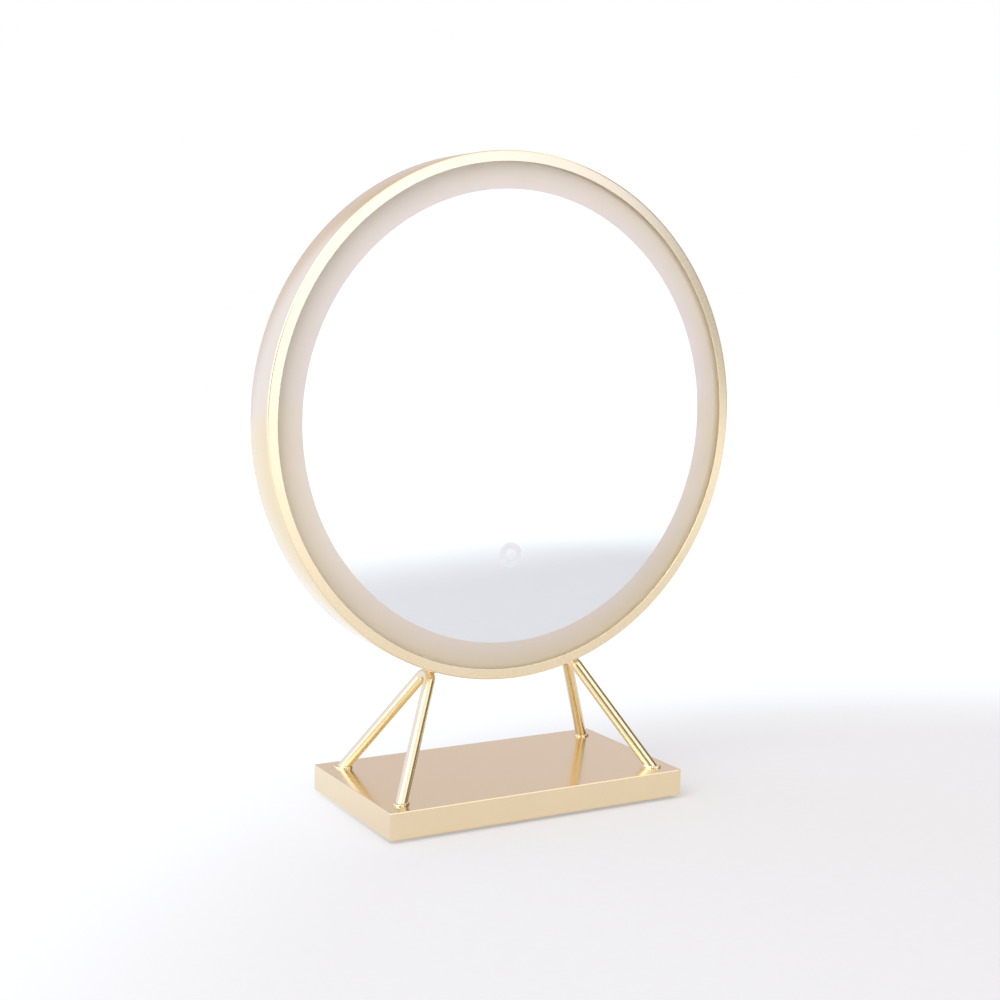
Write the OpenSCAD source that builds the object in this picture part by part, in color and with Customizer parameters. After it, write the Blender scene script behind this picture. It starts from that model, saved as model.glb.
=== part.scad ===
// Round lighted table mirror on four welded rod legs and a weighted box base.
// Millimetres, +Z up, +X to the right, mirror facing -Y.
// The origin is on the table, under the centre of the base.

/* [Mirror head] */
// Outside diameter of the round frame
frame_d = 400; // [330:5:500]
// Depth of the frame from its rear edge to the front of its rim
frame_depth = 33; // [33:1:45]
// Thickness of the steel sheet that the frame and its rim are made of
frame_sheet = 1.5; // [1:0.1:2]
// Width of the front rim's flat face
rim_w = 8; // [6:0.5:12]
// Depth of the rim's skirt inside the frame
rim_skirt = 6.5; // [4:0.5:9]
// Width of the lit band between the rim and the silvered mirror
lit_band_w = 20; // [14:1:30]

/* [Glass and touch key] */
// Thickness of the mirror glass
glass_t = 4; // [3:0.5:6]
// Radial clearance between the glass and the rim's skirt
glass_gap = 1; // [0.5:0.25:2]
// Thickness of the silvering with its protective paint
coating_t = 0.5; // [0.3:0.1:1]
// Thickness of the diffuser ring behind the lit band
diffuser_t = 1.5; // [1:0.25:3]
// Height of the touch key's centre above the silvered mirror's lowest point
key_rise = 68; // [50:1:90]
// Outside diameter of the touch key's clear ring
key_d = 19.5; // [14:0.5:24]
// Diameter of the silvered spot inside the clear ring
key_spot_d = 9; // [5:0.5:12]

/* [Light tray] */
// Thickness of the white moulded tray
tray_t = 1.5; // [1:0.25:2.5]
// Height of the tray's floor above the frame's rear edge
tray_floor = 8; // [8:0.5:11]
// Distance of the tray's inner wall inside the silvered mirror's edge
tray_inset = 2; // [1:0.5:5]
// Thickness of the adhesive foam between the tray and the glass
foam_t = 1; // [0.5:0.25:2]
// Width of the light strip
strip_w = 8; // [5:1:10]
// Thickness of the light strip
strip_t = 0.4; // [0.2:0.1:0.8]
// Spacing of the light chips along the strip
chip_pitch = 16.6; // [10:0.2:33]
// Side of a light chip
chip_w = 5; // [3:0.5:6]
// Height of a light chip
chip_h = 1.5; // [0.8:0.1:2]

/* [Back of the head] */
// Depth of the back panel inside the frame's rear edge
panel_recess = 2.5; // [2:0.25:4]
// Thickness of the back panel
panel_t = 1; // [0.8:0.1:1.5]
// Radial clearance round the back panel
panel_gap = 0.5; // [0.25:0.25:1.5]
// Number of brackets that carry the tray and the back panel
bracket_count = 6; // [4:1:10]
// Width of a bracket
bracket_w = 22; // [18:1:30]
// Radial length of a bracket
bracket_len = 18; // [14:1:22]
// Diameter of the screws in the head
screw_d = 3; // [2.5:0.5:4]
// Distance of the power inlet from the frame's inner wall
inlet_inset = 48; // [40:1:60]
// Diameter of the power inlet's threaded barrel
inlet_d = 11; // [10:0.5:13]
// Diameter of the opening that the plug goes into
plug_hole_d = 5.6; // [5.5:0.05:6]
// Diameter of the inlet's centre pin
plug_pin_d = 2.1; // [2:0.05:2.5]
// Height of the driver case's centre above the middle of the head
driver_rise = 10; // [-20:1:60]
// Length of the driver case
driver_w = 72; // [60:1:90]
// Width of the driver case
driver_d = 42; // [36:1:60]
// Height of the driver case with its lid
driver_h = 15; // [13:1:17]
// Wall of the driver case
driver_wall = 1.8; // [1.2:0.1:2.5]
// Diameter of the leads inside the head
lead_d = 3; // [2:0.25:3.5]

/* [Stand] */
// Gap between the base's top and the lowest point of the frame
head_gap = 74.5; // [55:0.5:110]
// Diameter of the legs' steel rod
leg_d = 9; // [6:0.5:12]
// Angle from the lowest point of the frame to where a pair of legs meets it
leg_angle = 18.2; // [12:0.1:24]
// Radius of the bend that joins the two legs of a pair, at the rod's centre line
leg_bend_r = 8.5; // [7:0.5:14]
// Distance of the legs' feet from the ends of the base
leg_inset_x = 17; // [13:0.5:30]
// Distance of the legs' feet from the front and back of the base
leg_inset_y = 17.4; // [13:0.2:30]
// Size of the weld beads at both ends of the legs
weld = 1.3; // [0.8:0.1:2]

/* [Base] */
// Width of the base
base_w = 254; // [215:1:330]
// Depth of the base from front to back
base_d = 138; // [120:1:180]
// Height of the base's box, without its feet
base_h = 21.5; // [20:0.5:30]
// Thickness of the base's steel sheet
base_sheet = 1.5; // [1:0.1:2]
// Radius of the base's upright corners
base_corner_r = 4; // [3.5:0.5:10]
// Radius of the base's rounded lower edge
base_lower_r = 3; // [1.5:0.5:3]
// Radius of the base's crisp upper edge
base_upper_r = 1; // [0.5:0.25:1.5]
// Width of the lip that is folded in at the bottom
base_lip = 8; // [6:0.5:12]
// Clearance round the bottom plate
plate_gap = 0.5; // [0.25:0.25:1]
// Thickness of the steel weight in the base
weight_t = 10; // [6:0.5:12]
// Gap between the weight and the base's folded lip
weight_gap = 6; // [3:0.5:15]
// Distance between the two studs that hold the weight
stud_spacing = 120; // [80:5:180]
// Diameter of the studs that hold the weight
stud_d = 5; // [4:1:6]
// Diameter of a rubber foot
foot_d = 16; // [12:1:24]
// Height that the rubber feet stand out below the base
foot_h = 1.5; // [1.5:0.25:3]
// Distance of the feet from the edges of the base's bottom opening
foot_inset = 16; // [10:1:30]

/* [Hidden] */
$fn = 96;

// Heights above the table
base_top = foot_h + base_h;
head_z = base_top + head_gap + frame_d / 2;

// Radii of the head, all about its own axis
frame_r = frame_d / 2;
frame_bore_r = frame_r - frame_sheet;
rim_bore_r = frame_r - rim_w;
skirt_bore_r = frame_bore_r - frame_sheet;
glass_r = skirt_bore_r - glass_gap;
silver_r = rim_bore_r - lit_band_w;
tray_wall_r = silver_r - tray_inset;

// Depths in the head, measured forwards from the frame's rear edge
rim_back = frame_depth - frame_sheet;
glass_back = rim_back - glass_t;
coating_back = glass_back - coating_t;
diffuser_back = glass_back - diffuser_t;
plateau = coating_back - foam_t;
panel_front = panel_recess + panel_t;
channel_floor = tray_floor + tray_t;

// Touch key and power inlet, measured up from the head's axis
key_y = key_rise - silver_r;
key_window_d = key_d + 12;
key_board_d = key_window_d - 2;
board_t = 1.6;
key_foam_t = 3;
inlet_y = inlet_inset - frame_bore_r;
key_board_back = coating_back - key_foam_t - board_t;
edge_r = 0.8 * frame_sheet;
small_r = 0.3 * frame_sheet;
film_gap = 0.2;

// Light strip on the tray's outer wall, with its chips, and where its lead comes in
strip_r = glass_r - tray_t;
strip_mid = (channel_floor + diffuser_back) / 2;
chip_count = floor(2 * PI * strip_r / chip_pitch);
chip_face_r = sqrt(pow(strip_r - strip_t, 2) - pow(chip_w / 2, 2));
led_angle = 290;

// Screws: the head is a low dome, and the hole is a little wider than the screw
screw_head_d = 2 * screw_d;
screw_head_h = 0.55 * screw_d;
screw_gap = 0.2;
screw_grip = 3.5;
screw_offset = 5;
screw_r = frame_bore_r - bracket_len + screw_head_d / 2 + 2;

// Power inlet, from its flange outside the panel to its terminals inside
inlet_flange_t = 1.8;
inlet_len = 13;
inlet_bore_len = 9.5;
inlet_mouth = panel_recess - inlet_flange_t;
inlet_floor = inlet_mouth + inlet_bore_len;
pin_shank_d = plug_pin_d - 0.6;
pin_embed = 2;
pin_short = 1.5;
inlet_end = panel_recess + inlet_len;
nut_t = 2.5;
nut_across = inlet_d + 3;
terminal_len = 4;
terminal_w = 2.4;
terminal_t = 0.8;

// Driver board and the parts on it
driver_lid_t = 1.6;
driver_floor = panel_front + driver_wall;
board_rest = 2;
board_gap = 0.6;
driver_case_top = panel_front + driver_h - driver_lid_t;
driver_board_top = driver_floor + board_rest + board_t;
socket_h = 5;
socket_w = 8;
socket_d = 6;
socket_in = 9;
lead_spread = driver_w / 4;
lead_z = driver_board_top + socket_h / 2;
lead_y = driver_rise - driver_d / 2 + socket_in;

// Leads inside the head, from end to end. The round numbers are points on the
// way, and the ends are where the lead is held.
supply_route = [
    [0, inlet_y, inlet_end + terminal_len],
    [0, inlet_y + 2, inlet_end + terminal_len + 2],
    [-5, inlet_y + 10, inlet_end],
    [-12, inlet_y + 25, lead_z],
    [-18, key_y, lead_z],
    [-lead_spread, lead_y - 35, lead_z],
    [-lead_spread, lead_y - 15, lead_z],
    [-lead_spread, lead_y, lead_z]
];
led_dir = [cos(led_angle), sin(led_angle), 0];
led_route = [
    [lead_spread, lead_y, lead_z],
    [lead_spread, lead_y - 15, lead_z],
    [lead_spread, lead_y - 35, lead_z],
    [30, key_y, lead_z],
    led_dir * (tray_wall_r - 38) + [0, 0, strip_mid],
    led_dir * (tray_wall_r - 12) + [0, 0, strip_mid],
    led_dir * (tray_wall_r + 4) + [0, 0, strip_mid],
    led_dir * (strip_r - strip_t) + [0, 0, strip_mid]
];
sensor_route = [
    [0, lead_y, lead_z],
    [0, lead_y - 15, lead_z],
    [0, lead_y - 35, lead_z],
    [4, key_y + 24, lead_z],
    [3, key_y + 7, lead_z],
    [0, key_y, key_board_back - 6],
    [0, key_y, key_board_back - 3],
    [0, key_y, key_board_back]
];

// Legs
leg_x = base_w / 2 - leg_inset_x;
leg_y = base_d / 2 - leg_inset_y;
leg_bite = 0.3;
leg_top_r = frame_r + leg_d / 2 - leg_bite;
leg_top = [leg_top_r * sin(leg_angle), 0, head_z - leg_top_r * cos(leg_angle)];
pair_lean = atan2(leg_x - leg_top[0], leg_top[2] - base_top);
pair_up = [-sin(pair_lean), 0, cos(pair_lean)];
pair_rise = (leg_top[2] - base_top) / cos(pair_lean) - leg_bend_r;
bend_centre = leg_top - leg_bend_r * pair_up;
leg_lean = atan2(leg_y, pair_rise) - asin(leg_bend_r / norm([leg_y, pair_rise]));
leg_run = sqrt(pow(leg_y, 2) + pow(pair_rise, 2) - pow(leg_bend_r, 2));
leg_extra = 20;
rod_seam = 40;

// Inside of the base
opening_w = base_w - 2 * base_lip;
opening_d = base_d - 2 * base_lip;
plate_top = foot_h + base_sheet;
weight_top = plate_top + weight_t;
base_ceiling = base_top - base_sheet;
stud_hole_d = stud_d + 0.6;
stud_nut_t = 0.8 * stud_d;
stud_nut_across = 1.6 * stud_d;
nut_pocket_h = stud_nut_t + 1;
foot_x = opening_w / 2 - foot_inset;
foot_y = opening_d / 2 - foot_inset;
foot_screw_up = 7;

// ---- shared shapes ----

// Puts a shape, modelled flat with its front upwards, upright in the head.
module on_head() {
    translate([0, frame_depth / 2, head_z]) rotate([90, 0, 0]) children();
}

// Round plate or tube between two depths.
module disc(r, z0, z1) {
    translate([0, 0, z0]) cylinder(r = r, h = z1 - z0, $fn = 180);
}
module tube(r_out, r_in, z0, z1) {
    difference() {
        disc(r_out, z0, z1);
        translate([0, 0, -1]) disc(r_in, z0, z1 + 2);
    }
}

// Round hole or pin at a point, between two depths.
module peg(x, y, d, z0, z1) {
    translate([x, y, z0]) cylinder(d = d, h = z1 - z0, $fn = 48);
}

// Square-cornered block on a centre, between two depths.
module block(x, y, w, d, z0, z1) {
    translate([x - w / 2, y - d / 2, z0]) cube([w, d, z1 - z0]);
}

// Six-sided nut blank, measured across its flats.
module hex(x, y, across, z0, z1) {
    translate([x, y, z0]) cylinder(d = across / cos(30), h = z1 - z0, $fn = 6);
}

// Rectangle with round corners, centred.
module soft_rect(w, d, r) {
    square([w - 2 * r, d], center = true);
    square([w, d - 2 * r], center = true);
    for (x = [-1, 1], y = [-1, 1])
        translate([x * (w / 2 - r), y * (d / 2 - r)]) circle(r, $fn = 48);
}

// Pan-head screw that points along +Z, with its head's bearing face at z = 0.
module screw(d, head_d, head_h, length) {
    cylinder(d = d, h = length, $fn = 32);
    rotate_extrude($fn = 48) intersection() {
        translate([0, -head_h]) square([head_d / 2, head_h]);
        translate([0, head_d * 0.45 - head_h]) circle(head_d * 0.62, $fn = 96);
    }
}

// Smooth curve through hand-chosen points, and a round lead swept along it.
function curve_at(p, i, t) =
    let (a = p[max(i - 1, 0)], b = p[i], c = p[i + 1], d = p[min(i + 2, len(p) - 1)])
    0.5 * (2 * b + (c - a) * t + (2 * a - 5 * b + 4 * c - d) * t * t
        + (3 * b - a - 3 * c + d) * t * t * t);
function curve(p, n) =
    concat([for (i = [0:len(p) - 2], k = [0:n - 1]) curve_at(p, i, k / n)], [p[len(p) - 1]]);
function unit(v) = v / norm(v);
module lead(points, d, sides = 8, steps = 5) {
    path = curve(points, steps);
    last = len(path) - 1;
    rings = [for (i = [0:last])
        let (
            t = unit(path[min(i + 1, last)] - path[max(i - 1, 0)]),
            side = unit(cross(t, [0.11, 0.17, 0.98])),
            up = cross(side, t)
        )
        for (k = [0:sides - 1])
            path[i] + d / 2 * (cos(360 * k / sides) * side + sin(360 * k / sides) * up)];
    walls = [for (i = [0:last - 1], k = [0:sides - 1])
        let (a = i * sides + k, b = i * sides + (k + 1) % sides)
        each [[a, b, b + sides], [a, b + sides, a + sides]]];
    caps = [
        [for (k = [sides - 1:-1:0]) k],
        [for (k = [0:sides - 1]) last * sides + k]
    ];
    polyhedron(points = rings, faces = concat(walls, caps));
}

// ---- mirror head ----

// Rolled and welded steel band, open at both ends, with its rear edge eased.
module frame_drum() {
    color([0.90, 0.82, 0.68]) on_head()
        rotate_extrude($fn = 240) {
            translate([frame_bore_r, small_r])
                square([frame_sheet, rim_back - small_r]);
            translate([frame_bore_r + small_r, 0])
                square([frame_sheet - 2 * small_r, small_r]);
            for (x = [small_r, frame_sheet - small_r])
                translate([frame_bore_r + x, small_r]) circle(small_r, $fn = 24);
        }
}

// L-section ring: a flat face over the frame's front edge and a skirt inside it.
module front_rim() {
    color([0.93, 0.85, 0.70]) on_head()
        rotate_extrude($fn = 240) {
            intersection() {
                translate([rim_bore_r, rim_back]) square([rim_w, frame_sheet]);
                union() {
                    translate([rim_bore_r + small_r, rim_back])
                        square([rim_w - edge_r - small_r, frame_sheet]);
                    translate([rim_bore_r, rim_back])
                        square([rim_w - edge_r, frame_sheet - small_r]);
                    translate([rim_bore_r + small_r, frame_depth - small_r])
                        circle(small_r, $fn = 24);
                    translate([frame_r - edge_r, rim_back])
                        square([edge_r, frame_sheet - edge_r]);
                    translate([frame_r - edge_r, frame_depth - edge_r])
                        circle(edge_r, $fn = 32);
                }
            }
            translate([skirt_bore_r, rim_back - rim_skirt]) square([frame_sheet, rim_skirt]);
        }
}

// Flat round mirror glass, held behind the rim.
module mirror_glass() {
    color([0.85, 0.93, 0.95, 0.35]) on_head() disc(glass_r, glass_back, rim_back);
}

// Silvering with its paint, removed in a ring to make the touch key's mark.
module silver_coating() {
    color([0.86, 0.88, 0.90]) on_head() {
        difference() {
            disc(silver_r, coating_back, glass_back);
            peg(0, key_y, key_d, coating_back - 1, glass_back + 1);
        }
        peg(0, key_y, key_spot_d, coating_back, glass_back);
    }
}

// Opal ring behind the glass, which spreads the light over the band.
module light_diffuser() {
    color([0.88, 0.83, 0.78]) on_head()
        tube(glass_r, silver_r + film_gap, diffuser_back, glass_back);
}

// White moulded tray: a middle that the glass is bonded to, and a channel round
// it for the light strip.
module inner_tray() {
    color([0.95, 0.95, 0.94]) on_head() difference() {
        union() {
            tube(tray_wall_r, tray_wall_r - tray_t, tray_floor, plateau);
            disc(tray_wall_r, plateau - tray_t, plateau);
            tube(glass_r, tray_wall_r - tray_t, tray_floor, channel_floor);
            tube(glass_r, glass_r - tray_t, tray_floor, diffuser_back);
        }
        peg(0, key_y, key_window_d, plateau - tray_t - 1, plateau + 1);
        rotate(led_angle) translate([0, 0, strip_mid]) rotate([0, 90, 0])
            cylinder(d = lead_d + 1, h = tray_wall_r + 3, $fn = 32);
        at_brackets() peg(screw_r, screw_offset, screw_d + screw_gap, 0, channel_floor + 1);
    }
}

// Screws that hold the tray down on the brackets.
module tray_screws() {
    color([0.75, 0.75, 0.77]) on_head() at_brackets()
        translate([screw_r, screw_offset, channel_floor]) rotate([180, 0, 0])
            screw(screw_d, screw_head_d, screw_head_h, tray_t + screw_grip - 0.5);
}

// Adhesive foam between the tray and the silvered back of the glass.
module mirror_foam() {
    color([0.2, 0.2, 0.2]) on_head() difference() {
        tube(tray_wall_r - 4, tray_wall_r / 4, plateau, coating_back);
        peg(0, key_y, key_window_d + 4, plateau - 1, coating_back + 1);
    }
}

// Flexible light strip, stuck round the inside of the tray's outer wall.
module led_strip() {
    color([0.96, 0.96, 0.92]) on_head()
        tube(strip_r, strip_r - strip_t, strip_mid - strip_w / 2, strip_mid + strip_w / 2);
}

// Light chips on the strip, facing the middle of the head.
module led_chips() {
    color([0.98, 0.93, 0.7]) on_head() for (i = [0:chip_count - 1])
        rotate(led_angle + 360 * (i + 0.5) / chip_count)
            block(chip_face_r - chip_h / 2, 0, chip_h, chip_w,
                strip_mid - chip_w / 2, strip_mid + chip_w / 2);
}

// Repeats a shape at each bracket.
module at_brackets() {
    for (i = [0:bracket_count - 1]) rotate(360 * (i + 0.5) / bracket_count) children();
}

// C-section steel brackets, spot-welded inside the frame: the tray is screwed to
// their front flange, and the back panel to their rear flange.
module panel_brackets() {
    color([0.72, 0.72, 0.72]) on_head() at_brackets() difference() {
        intersection() {
            block(frame_bore_r - bracket_len / 2 + 1, 0, bracket_len + 2, bracket_w,
                panel_front, tray_floor);
            disc(frame_bore_r, panel_front, tray_floor);
        }
        block(frame_bore_r - frame_sheet - bracket_len / 2 - 0.5, 0, bracket_len + 1, bracket_w + 2,
            panel_front + frame_sheet, tray_floor - frame_sheet);
        for (y = [-screw_offset, screw_offset])
            peg(screw_r, y, screw_d + screw_gap, 0, tray_floor + 1);
    }
}

// Round steel back panel, set into the frame.
module back_panel() {
    color([0.90, 0.82, 0.68]) on_head() difference() {
        disc(frame_bore_r - panel_gap, panel_recess, panel_front);
        at_brackets() peg(screw_r, -screw_offset, screw_d + screw_gap, 0, panel_front + 1);
        peg(0, inlet_y, inlet_d + screw_gap, 0, panel_front + 1);
    }
}

// Screws that hold the back panel on the brackets.
module panel_screws() {
    color([0.78, 0.74, 0.66]) on_head() at_brackets()
        translate([screw_r, -screw_offset, panel_recess])
            screw(screw_d, screw_head_d, screw_head_h, panel_t + screw_grip - 0.5);
}

// ---- driver, inside the head on the back panel ----

// Open plastic box with four rests for the board and holes for the leads.
module driver_case() {
    inside_w = driver_w - 2 * driver_wall;
    inside_d = driver_d - 2 * driver_wall;
    color([0.93, 0.93, 0.92]) on_head() translate([0, driver_rise, 0]) {
        difference() {
            block(0, 0, driver_w, driver_d, panel_front, driver_case_top);
            block(0, 0, inside_w, inside_d, driver_floor, driver_case_top + 1);
            for (x = [-1, 0, 1])
                peg_along_y(x * lead_spread, lead_z, lead_d + 0.4);
        }
        for (x = [-1, 1], y = [-1, 1])
            peg(x * (inside_w / 2 - 6), y * (inside_d / 2 - 6), 5,
                driver_floor, driver_floor + board_rest);
    }
}

// Hole through the driver case's lower wall.
module peg_along_y(x, z, d) {
    translate([x, -driver_d / 2 - 1, z]) rotate([-90, 0, 0])
        cylinder(d = d, h = driver_wall + 2, $fn = 32);
}

// Lid of the driver case, with a lip that drops inside the walls.
module driver_lid() {
    color([0.90, 0.90, 0.89]) on_head() translate([0, driver_rise, 0]) {
        block(0, 0, driver_w, driver_d, driver_case_top, driver_case_top + driver_lid_t);
        difference() {
            block(0, 0, driver_w - 2 * driver_wall - 0.4, driver_d - 2 * driver_wall - 0.4,
                driver_case_top - 1.5, driver_case_top);
            block(0, 0, driver_w - 4 * driver_wall, driver_d - 4 * driver_wall,
                driver_case_top - 2, driver_case_top);
        }
    }
}

// Controller board, on its rests.
module driver_board() {
    color([0.10, 0.42, 0.22]) on_head() translate([0, driver_rise, 0])
        block(0, 0, driver_w - 2 * (driver_wall + board_gap), driver_d - 2 * (driver_wall + board_gap),
            driver_floor + board_rest, driver_board_top);
}

// Parts on the board: a capacitor, a coil, two power switches, a control chip and
// a row of lead sockets.
module driver_parts() {
    z = driver_board_top;
    color([0.15, 0.15, 0.17]) on_head() translate([0, driver_rise, 0]) {
        peg(-driver_w / 2 + 12, 6, 6.5, z, z + 5);
        block(-driver_w / 2 + 24, 6, 8, 8, z, z + 3.5);
        for (x = [0, 9]) block(x, 8, 6, 6.5, z, z + 2.2);
        block(driver_w / 2 - 16, 6, 9, 6, z, z + 1.6);
        for (x = [-1, 0, 1])
            block(x * lead_spread, socket_in + socket_d / 2 - driver_d / 2, socket_w, socket_d,
                z, z + socket_h);
    }
}

// ---- touch key, behind the glass ----

// Black foam ring between the silvering and the key's board.
module touch_foam() {
    color([0.08, 0.08, 0.08]) on_head() translate([0, key_y, 0]) difference() {
        disc(key_board_d / 2, coating_back - key_foam_t, coating_back);
        peg(0, 0, key_d + 2, 0, frame_depth);
    }
}

// Round sensor board.
module touch_board() {
    color([0.92, 0.92, 0.90]) on_head()
        peg(0, key_y, key_board_d, key_board_back, coating_back - key_foam_t);
}

// Small lights on the board that glow through the clear ring.
module touch_leds() {
    color([0.95, 0.95, 0.85]) on_head() translate([0, key_y, 0]) for (a = [45:90:315])
        rotate(a) block((key_d + key_spot_d) / 4, 0, 1.6, 3,
            coating_back - key_foam_t, coating_back - key_foam_t + 1);
}

// ---- power inlet, in the back panel ----

// Panel socket: a round flange outside the panel and a barrel through it.
module inlet_body() {
    color([0.07, 0.07, 0.08]) on_head() translate([0, inlet_y, 0]) difference() {
        union() {
            disc(nut_across / 2, inlet_mouth, panel_recess);
            disc(inlet_d / 2, inlet_mouth, inlet_end);
        }
        peg(0, 0, plug_hole_d, inlet_mouth - 1, inlet_floor);
        peg(0, 0, pin_shank_d, inlet_mouth, inlet_floor + pin_embed);
    }
}

// Centre pin, with a thinner shank that is held in the bottom of the socket.
module inlet_pin() {
    color([0.85, 0.85, 0.82]) on_head() {
        peg(0, inlet_y, plug_pin_d, inlet_mouth + pin_short, inlet_floor);
        peg(0, inlet_y, pin_shank_d, inlet_floor - 0.5, inlet_floor + pin_embed);
    }
}

// Nut that clamps the socket to the panel.
module inlet_nut() {
    color([0.82, 0.82, 0.82]) on_head() difference() {
        hex(0, inlet_y, nut_across, panel_front, panel_front + nut_t);
        peg(0, inlet_y, inlet_d, 0, frame_depth);
    }
}

// Two solder tags behind the socket.
module inlet_terminals() {
    color([0.85, 0.80, 0.65]) on_head() for (x = [-1, 1])
        block(x * inlet_d / 4, inlet_y, terminal_t, terminal_w, inlet_end, inlet_end + terminal_len);
}

// ---- leads inside the head, each a curve through hand-chosen points ----

// From the inlet's tags, past the touch key, to the driver.
module supply_lead() {
    color([0.1, 0.1, 0.1]) on_head() lead(supply_route, lead_d);
}

// From the driver, through the tray's wall, to the start of the light strip.
module led_lead() {
    color([0.85, 0.85, 0.85]) on_head() lead(led_route, lead_d);
}

// From the driver to the back of the touch key's board.
module sensor_lead() {
    color([0.75, 0.15, 0.12]) on_head() lead(sensor_route, lead_d);
}

// ---- stand ----

// Half of a pair's bent rod, from a foot on the base to the middle of the bend,
// with the given diameter. side is -1 on the left, depth is -1 at the front.
module rod(side, depth, d) {
    translate([side * bend_centre[0], 0, bend_centre[2]]) rotate([0, -side * pair_lean, 0])
        rotate([0, 0, 90 * depth]) rotate([90, 0, 0]) rotate([0, 0, leg_lean]) {
            rotate_extrude(angle = 90 - leg_lean, $fn = 96)
                translate([leg_bend_r, 0]) circle(d = d, $fn = 64);
            translate([leg_bend_r, 0, 0]) rotate([90, 0, 0]) rotate(rod_seam)
                cylinder(d = d, h = leg_run + leg_extra, $fn = 64);
        }
}

// Space outside the frame and above the base.
module leg_space() {
    difference() {
        translate([-frame_r, -base_d, base_top]) cube([2 * frame_r, 2 * base_d, head_z - base_top]);
        translate([0, base_d, head_z]) rotate([90, 0, 0])
            cylinder(r = frame_r, h = 2 * base_d, $fn = 240);
    }
}
module leg(side, depth) {
    color([0.88, 0.74, 0.46]) intersection() {
        rod(side, depth, leg_d);
        leg_space();
    }
}
module left_front_leg() { leg(-1, -1); }
module left_rear_leg() { leg(-1, 1); }
module right_front_leg() { leg(1, -1); }
module right_rear_leg() { leg(1, 1); }

// Weld beads where each pair of legs meets the frame.
module head_welds() {
    color([0.80, 0.68, 0.45]) for (side = [-1, 1], depth = [-1, 1]) difference() {
        intersection() {
            rod(side, depth, leg_d + 2 * weld);
            translate([0, frame_depth / 2, head_z]) rotate([90, 0, 0])
                tube(frame_r + weld, frame_r, 1, frame_depth - 1);
        }
        rod(side, depth, leg_d);
    }
}

// Weld beads round the foot of each leg.
module base_welds() {
    color([0.80, 0.68, 0.45]) for (side = [-1, 1], depth = [-1, 1]) difference() {
        intersection() {
            rod(side, depth, leg_d + 2 * weld);
            block(side * leg_x, depth * leg_y, 4 * leg_d, 4 * leg_d, base_top, base_top + weld);
        }
        rod(side, depth, leg_d);
    }
}

// ---- base ----

// Section of the base's edge: a strip as wide as the corner radius, with its
// outer corners rounded below and above.
module edge_section() {
    intersection() {
        square([base_corner_r, base_h]);
        union() {
            square([base_corner_r - base_lower_r, base_h - base_upper_r]);
            translate([0, base_lower_r])
                square([base_corner_r, base_h - base_lower_r - base_upper_r]);
            translate([0, base_lower_r])
                square([base_corner_r - base_upper_r, base_h - base_lower_r]);
            translate([base_corner_r - base_lower_r, base_lower_r])
                circle(base_lower_r, $fn = 48);
            translate([base_corner_r - base_upper_r, base_h - base_upper_r])
                circle(base_upper_r, $fn = 32);
        }
    }
}

// Solid outside shape of the base: a block, four edges and four corners.
module base_outside() {
    core_w = base_w - 2 * base_corner_r;
    core_d = base_d - 2 * base_corner_r;
    block(0, 0, core_w, core_d, 0, base_h);
    for (a = [0, 180]) {
        rotate(a) translate([core_w / 2, core_d / 2, 0]) rotate([90, 0, 0])
            linear_extrude(core_d) edge_section();
        rotate(a + 90) translate([core_d / 2, core_w / 2, 0]) rotate([90, 0, 0])
            linear_extrude(core_w) edge_section();
    }
    for (x = [-1, 1], y = [-1, 1])
        translate([x * core_w / 2, y * core_d / 2, 0])
            rotate(x > 0 ? (y > 0 ? 0 : 270) : (y > 0 ? 90 : 180))
                rotate_extrude(angle = 90, $fn = 64) edge_section();
}

// Folded steel box, open below inside its turned-in lip.
module base_shell() {
    color([0.88, 0.80, 0.66]) translate([0, 0, foot_h]) difference() {
        base_outside();
        translate([0, 0, base_sheet]) linear_extrude(base_h - 2 * base_sheet)
            soft_rect(base_w - 2 * base_sheet, base_d - 2 * base_sheet, base_corner_r - base_sheet);
        block(0, 0, opening_w, opening_d, -1, base_sheet + 1);
    }
}

// Solid steel slab that keeps the mirror from tipping.
module counterweight() {
    slab_w = opening_w - 2 * weight_gap;
    slab_d = opening_d - 2 * weight_gap;
    color([0.35, 0.35, 0.37]) difference() {
        block(0, 0, slab_w, slab_d, plate_top, weight_top);
        for (x = [-1, 1]) {
            peg(x * stud_spacing / 2, 0, stud_hole_d, 0, weight_top + 1);
            peg(x * stud_spacing / 2, 0, stud_nut_across + 5, 0, plate_top + nut_pocket_h);
        }
        for (x = [-1, 1], y = [-1, 1])
            peg(x * foot_x, y * foot_y, screw_d + screw_gap, 0, plate_top + foot_screw_up);
    }
}

// Studs welded under the top of the base.
module weight_studs() {
    color([0.65, 0.65, 0.66]) for (x = [-1, 1])
        peg(x * stud_spacing / 2, 0, stud_d, plate_top + 0.5, base_ceiling);
}

// Spacers round the studs, between the top of the base and the weight.
module weight_spacers() {
    color([0.65, 0.65, 0.66]) for (x = [-1, 1]) difference() {
        peg(x * stud_spacing / 2, 0, 2 * stud_d, weight_top, base_ceiling);
        peg(x * stud_spacing / 2, 0, stud_hole_d, 0, base_ceiling + 1);
    }
}

// Nuts that hold the weight, sunk in its underside.
module weight_nuts() {
    z = plate_top + nut_pocket_h;
    color([0.75, 0.75, 0.76]) for (x = [-1, 1]) difference() {
        hex(x * stud_spacing / 2, 0, stud_nut_across, z - stud_nut_t, z);
        peg(x * stud_spacing / 2, 0, stud_d, 0, z + 1);
    }
}

// Steel plate that closes the bottom, flush inside the folded lip.
module bottom_plate() {
    color([0.20, 0.20, 0.21]) difference() {
        block(0, 0, opening_w - 2 * plate_gap, opening_d - 2 * plate_gap, foot_h, plate_top);
        for (x = [-1, 1], y = [-1, 1])
            peg(x * foot_x, y * foot_y, screw_d + screw_gap, 0, plate_top + 1);
    }
}

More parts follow.
